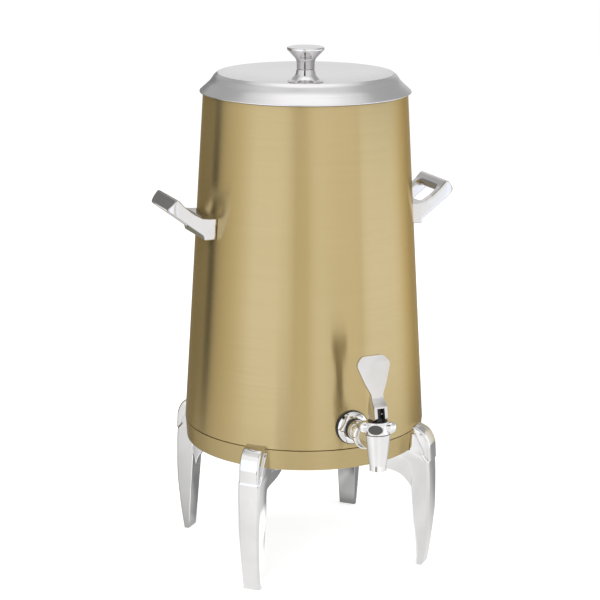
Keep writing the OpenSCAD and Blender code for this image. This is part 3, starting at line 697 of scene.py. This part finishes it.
def woundSpring():
    verts, faces = [], []
    sides = spring["sides"]
    rings = spring["turns"] * spring["around"] + 1
    for k in range(rings):
        a = 2 * math.pi * k / spring["around"]
        height = springHeight(k / spring["around"])
        for i in range(sides):
            b = 2 * math.pi * i / sides
            r = spring["radius"] + spring["wire"] / 2 * math.cos(b)
            point = Vector((r * math.cos(a), r * math.sin(a), height + spring["wire"] / 2 * math.sin(b)))
            verts.append(tapAxis @ (point * mm))
    for k in range(rings - 1):
        for i in range(sides):
            j = (i + 1) % sides
            faces.append((k * sides + i, k * sides + j, (k + 1) * sides + j, (k + 1) * sides + i))
    faces.append(tuple(range(sides)))
    faces.append(tuple((rings - 1) * sides + i for i in range(sides)))
    return makePiece("stem_spring_wound", verts, faces, "urn", "steel", ["stem_spring"], angle=60)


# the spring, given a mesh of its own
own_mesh(woundSpring())
print("tap made")

# a pale floor, three lamps, and a tent of cloth that shows in reflections alone
studio = {
    "lens": 112.88,
    "cameraAt": (-0.7869, -1.8750, 0.8089),
    "heading": -22.63,    # degrees, as the tilt
    "tilt": 75.665,
    "roll": 0.005,        # radians
    "airFill": 0.55,      # light from all round
    "floorSize": 28,
    "floorTint": (0.9, 0.9, 0.9),
    "floorGlow": 0.5,
    "lampsAimAt": (0, 0, 0.3),
}
lamps = {
    "key_lamp": {"at": (-1.5, -1.9, 2.3), "size": 1.3, "power": 28},
    "fill_lamp": {"at": (2.1, -1.1, 1.8), "size": 1.4, "power": 19},
    "top_lamp": {"at": (0.1, 0.3, 2.8), "size": 1.6, "power": 13},
}
tent = {
    "radius": 0.8,
    "height": 1.5,
    "panels": 96,
    "neutral": 1.19,      # level at which the cloth has no cast
    # how cool the brighter cloth is, how warm the darker, and the most that it is
    "cast": {"cool": 1.0, "warm": 0.8, "warmest": 0.25, "green": 0.3},
    # brightness by angle round the wall: 0 is at the camera, plus is to its right
    "bands": [(-180, 0.39), (-147, 0.28), (-113, 0.3), (-107, 0), (-102, 0), (-97, 0.45), (-90, 0.7),
              (-80, 0.87), (-68, 1.04), (-58, 1.24), (-50, 1.39), (-28, 1.4), (-17, 1.31), (-12, 1.2),
              (-8, 0.96), (-5, 1.03), (2, 1.0), (8, 1.21), (15, 1.3), (33, 1.19), (53, 1.16), (55, 1.08),
              (58, 1.31), (65, 1.39), (97, 1.37), (107, 1.25), (118, 1.0), (126, 0.81), (135, 0.58),
              (150, 0.51), (180, 0.39)],
    # the same higher up: from half a metre, and from 0.72 m
    "middleFrom": 0.5,
    "middle": [(-180, 0.82), (-171, 0.8), (-165, 0.25), (-112, 0.22), (-100, 0.6), (-80, 0.95), (-60, 1.2),
               (-16, 1.25), (-14, 1.0), (0, 1.0), (2, 1.2), (45, 1.15), (62, 0.9), (76, 0.65), (100, 0.45),
               (145, 0.45), (160, 0.7), (180, 0.82)],
    "upperFrom": 0.72,
    "upper": [(-180, 0.95), (-168, 0.9), (-150, 0.5), (-125, 0.46), (-100, 0.54), (-80, 0.7), (-60, 0.92),
              (-20, 1.02), (-18, 0.02), (-2, 0.02), (0, 0.95), (45, 0.92), (62, 0.82), (76, 0.6),
              (100, 0.5), (145, 0.44), (166, 0.82), (180, 0.95)],
    # ceiling, by distance from the middle
    "ceiling": [(0, 1.32), (0.33, 1.31), (0.42, 1.1), (0.62, 0.9), (0.8, 0.72)],
    # floor as it is reflected, by angle and by distance: painted light and shade, darker behind the urn
    # and at the middle under it, with a painted bright ring just inside its edge
    "floor": [(-180, 0.34), (-170, 0.26), (-127, 0.27), (-118, 0.45), (-100, 0.62), (-85, 0.76),
              (-68, 0.88), (-48, 0.98), (-35, 1.08), (-24, 1.1), (-12, 0.98), (-4, 0.95), (6, 0.97),
              (12, 1.03), (20, 1.03), (30, 0.95), (55, 0.96), (75, 0.95), (90, 0.92), (99, 0.8),
              (107, 0.68), (113, 0.5), (119, 0.35), (140, 0.31), (170, 0.26), (180, 0.34)],
    "paintedFloorShadeAndLight": [(0, 0.6), (0.05, 0.7), (0.075, 2.0), (0.115, 2.0), (0.14, 1.0), (0.35, 1.0),
                   (0.43, 1.1), (0.8, 1.1)],
    # dark stripe between two angles, over the floor's outer part and a little way up the wall
    "stripe": {"left": -24, "right": -10, "floorFrom": 0.7, "wallTo": 0.03, "level": 0.03},
}
held = 0.5   # ramps hold half of each level, and the glow makes up for it


def clothColour(level, cast):
    # bright cloth is a little cool, dark cloth a little warm
    over = level - tent["neutral"]
    over = over * cast["cool"] if over > 0 else max(-cast["warmest"], over * cast["warm"])
    return level * held, level * (1 + cast["green"] * over) * held, level * (1 + over) * held


def levelsAlong(tree, value, levels, cast=None):
    # level read from a list of (place, level)
    low, high = levels[0][0], levels[-1][0]
    share = valueNode(tree, "MULTIPLY_ADD", value, 1 / (high - low), -low / (high - low))
    ramp = tree.nodes.new("ShaderNodeValToRGB")
    tree.links.new(share, ramp.inputs[0])
    stops = ramp.color_ramp.elements
    for n, (at, level) in enumerate(levels):
        spot = (at - low) / (high - low)
        stop = stops[n] if n < 2 else stops.new(spot)
        stop.position = spot
        stop.color = (*(clothColour(level, cast) if cast else (level * held,) * 3), 1)
    return ramp.outputs[0]


def glowing(tree, strength, colour=None):
    glow = tree.nodes.new("ShaderNodeEmission")
    glow.inputs["Strength"].default_value = strength
    if colour is not None:
        tree.links.new(colour, glow.inputs["Color"])
    return glow.outputs[0]


def striped(tree, colour, angle, within):
    # the dark stripe, where its angles and the given limit meet
    share = valueNode(tree, "MULTIPLY", valueNode(tree, "GREATER_THAN", angle, tent["stripe"]["left"]),
                      valueNode(tree, "LESS_THAN", angle, tent["stripe"]["right"]))
    share = valueNode(tree, "MULTIPLY", share, within)
    return mixColours(tree, share, colour, (tent["stripe"]["level"],) * 3)


def floorShade(tree):
    # lit and shadowed as usual to the camera, but in reflections it glows with the painted light and shade
    # set above instead
    x, y, _ = placeOf(tree)
    angle, far = angleOf(tree, x, y), distanceOf(tree, x, y)
    plain = tree.nodes.new("ShaderNodeBsdfDiffuse")
    plain.inputs["Color"].default_value = (*studio["floorTint"], 1)
    lit = tree.nodes.new("ShaderNodeAddShader")
    tree.links.new(plain.outputs[0], lit.inputs[0])
    tree.links.new(glowing(tree, studio["floorGlow"]), lit.inputs[1])
    # painted light and shade of the floor in reflections: by angle, and by distance with painted shade
    # under the urn
    colour = mixColours(tree, 1.0, levelsAlong(tree, angle, tent["floor"]),
                        levelsAlong(tree, far, tent["paintedFloorShadeAndLight"]), "MULTIPLY")
    beyond = valueNode(tree, "GREATER_THAN", far, tent["stripe"]["floorFrom"])
    colour = striped(tree, colour, angle, beyond)
    path = tree.nodes.new("ShaderNodeLightPath")
    seen = mixShaders(tree, path.outputs["Is Camera Ray"], plain.outputs[0], lit.outputs[0])
    return mixShaders(tree, path.outputs["Is Glossy Ray"], seen, glowing(tree, 1 / held ** 2, colour))


def wallShade(tree):
    x, y, z = placeOf(tree)
    angle = angleOf(tree, x, y)
    colour = mixColours(tree, valueNode(tree, "GREATER_THAN", z, tent["middleFrom"]),
                        levelsAlong(tree, angle, tent["bands"], tent["cast"]),
                        levelsAlong(tree, angle, tent["middle"]))
    colour = mixColours(tree, valueNode(tree, "GREATER_THAN", z, tent["upperFrom"]), colour,
                        levelsAlong(tree, angle, tent["upper"]))
    colour = striped(tree, colour, angle, valueNode(tree, "LESS_THAN", z, tent["stripe"]["wallTo"]))
    return glowing(tree, 1 / held, colour)


def ceilingShade(tree):
    x, y, _ = placeOf(tree)
    return glowing(tree, 1 / held, levelsAlong(tree, distanceOf(tree, x, y), tent["ceiling"]))


def stagePiece(name, verts, faces, stuff, shade):
    material = bpy.data.materials.new(stuff)
    material.use_nodes = True
    tree = material.node_tree
    tree.nodes.remove(tree.nodes["Principled BSDF"])
    tree.links.new(shade(tree), tree.nodes["Material Output"].inputs["Surface"])
    data = bpy.data.meshes.new(name)
    data.from_pydata(verts, [], faces)
    data.materials.append(material)
    obj = bpy.data.objects.new(name, data)
    bpy.context.scene.collection.objects.link(obj)
    return obj


reach = studio["floorSize"] / 2
corners = [(-reach, -reach, 0), (reach, -reach, 0), (reach, reach, 0), (-reach, reach, 0)]
ground = stagePiece("studio_floor", corners, [(0, 1, 2, 3)], "pale_floor", floorShade)

panels = tent["panels"]
hem, roof = [], []
for n in range(panels):
    a = 2 * math.pi * n / panels
    hem.append((tent["radius"] * math.cos(a), tent["radius"] * math.sin(a), 0))
    roof.append((tent["radius"] * math.cos(a), tent["radius"] * math.sin(a), tent["height"]))
sides = [(n, (n + 1) % panels, panels + (n + 1) % panels, panels + n) for n in range(panels)]
wall = stagePiece("light_tent", hem + roof, sides, "tent_cloth", wallShade)
ceiling = stagePiece("light_ceiling", roof, [tuple(range(panels))], "ceiling_cloth", ceilingShade)
for faced in (wall, ground):   # angles count from the camera's side
    faced.rotation_euler = (0, 0, math.radians(studio["heading"] - 90))
for cloth in (wall, ceiling):   # seen in reflections alone
    cloth.visible_camera = False
    cloth.visible_diffuse = False
    cloth.visible_shadow = False
    cloth.visible_transmission = False
    cloth.visible_volume_scatter = False


def plainAir(tree, strength):
    air = tree.nodes.new("ShaderNodeBackground")
    air.inputs["Color"].default_value = (1, 1, 1, 1)
    air.inputs["Strength"].default_value = strength
    return air.outputs[0]


world = bpy.data.worlds.new("studio_air")
bpy.context.scene.world = world
world.use_nodes = True
tree = world.node_tree
tree.nodes.clear()
rays = tree.nodes.new("ShaderNodeLightPath").outputs
looked = valueNode(tree, "MAXIMUM", rays["Is Camera Ray"], rays["Is Glossy Ray"])
looked = valueNode(tree, "MAXIMUM", looked, rays["Is Transmission Ray"])
sky = tree.nodes.new("ShaderNodeOutputWorld")
air = mixShaders(tree, looked, plainAir(tree, studio["airFill"]), plainAir(tree, 1.0))
tree.links.new(air, sky.inputs["Surface"])

for name, values in lamps.items():
    light = bpy.data.lights.new(name, "AREA")
    light.shape = "SQUARE"
    light.size = values["size"]
    light.energy = values["power"]
    lamp = bpy.data.objects.new(name, light)
    lamp.location = values["at"]
    aim = Vector(studio["lampsAimAt"]) - lamp.location
    lamp.rotation_euler = aim.to_track_quat("-Z", "Y").to_euler()
    lamp.visible_glossy = False
    bpy.context.scene.collection.objects.link(lamp)

view = bpy.data.cameras.new("front_camera")
view.lens = studio["lens"]
view.sensor_width = 36
view.clip_end = 60
camera = bpy.data.objects.new("front_camera", view)
camera.location = studio["cameraAt"]
facing = Euler((math.radians(studio["tilt"]), 0, math.radians(studio["heading"])), "XYZ").to_matrix()
camera.rotation_euler = (facing @ Matrix.Rotation(studio["roll"], 3, "Z")).to_euler()
bpy.context.scene.collection.objects.link(camera)
bpy.context.scene.camera = camera
bpy.context.scene.view_settings.view_transform = "Standard"
print("studio ready")
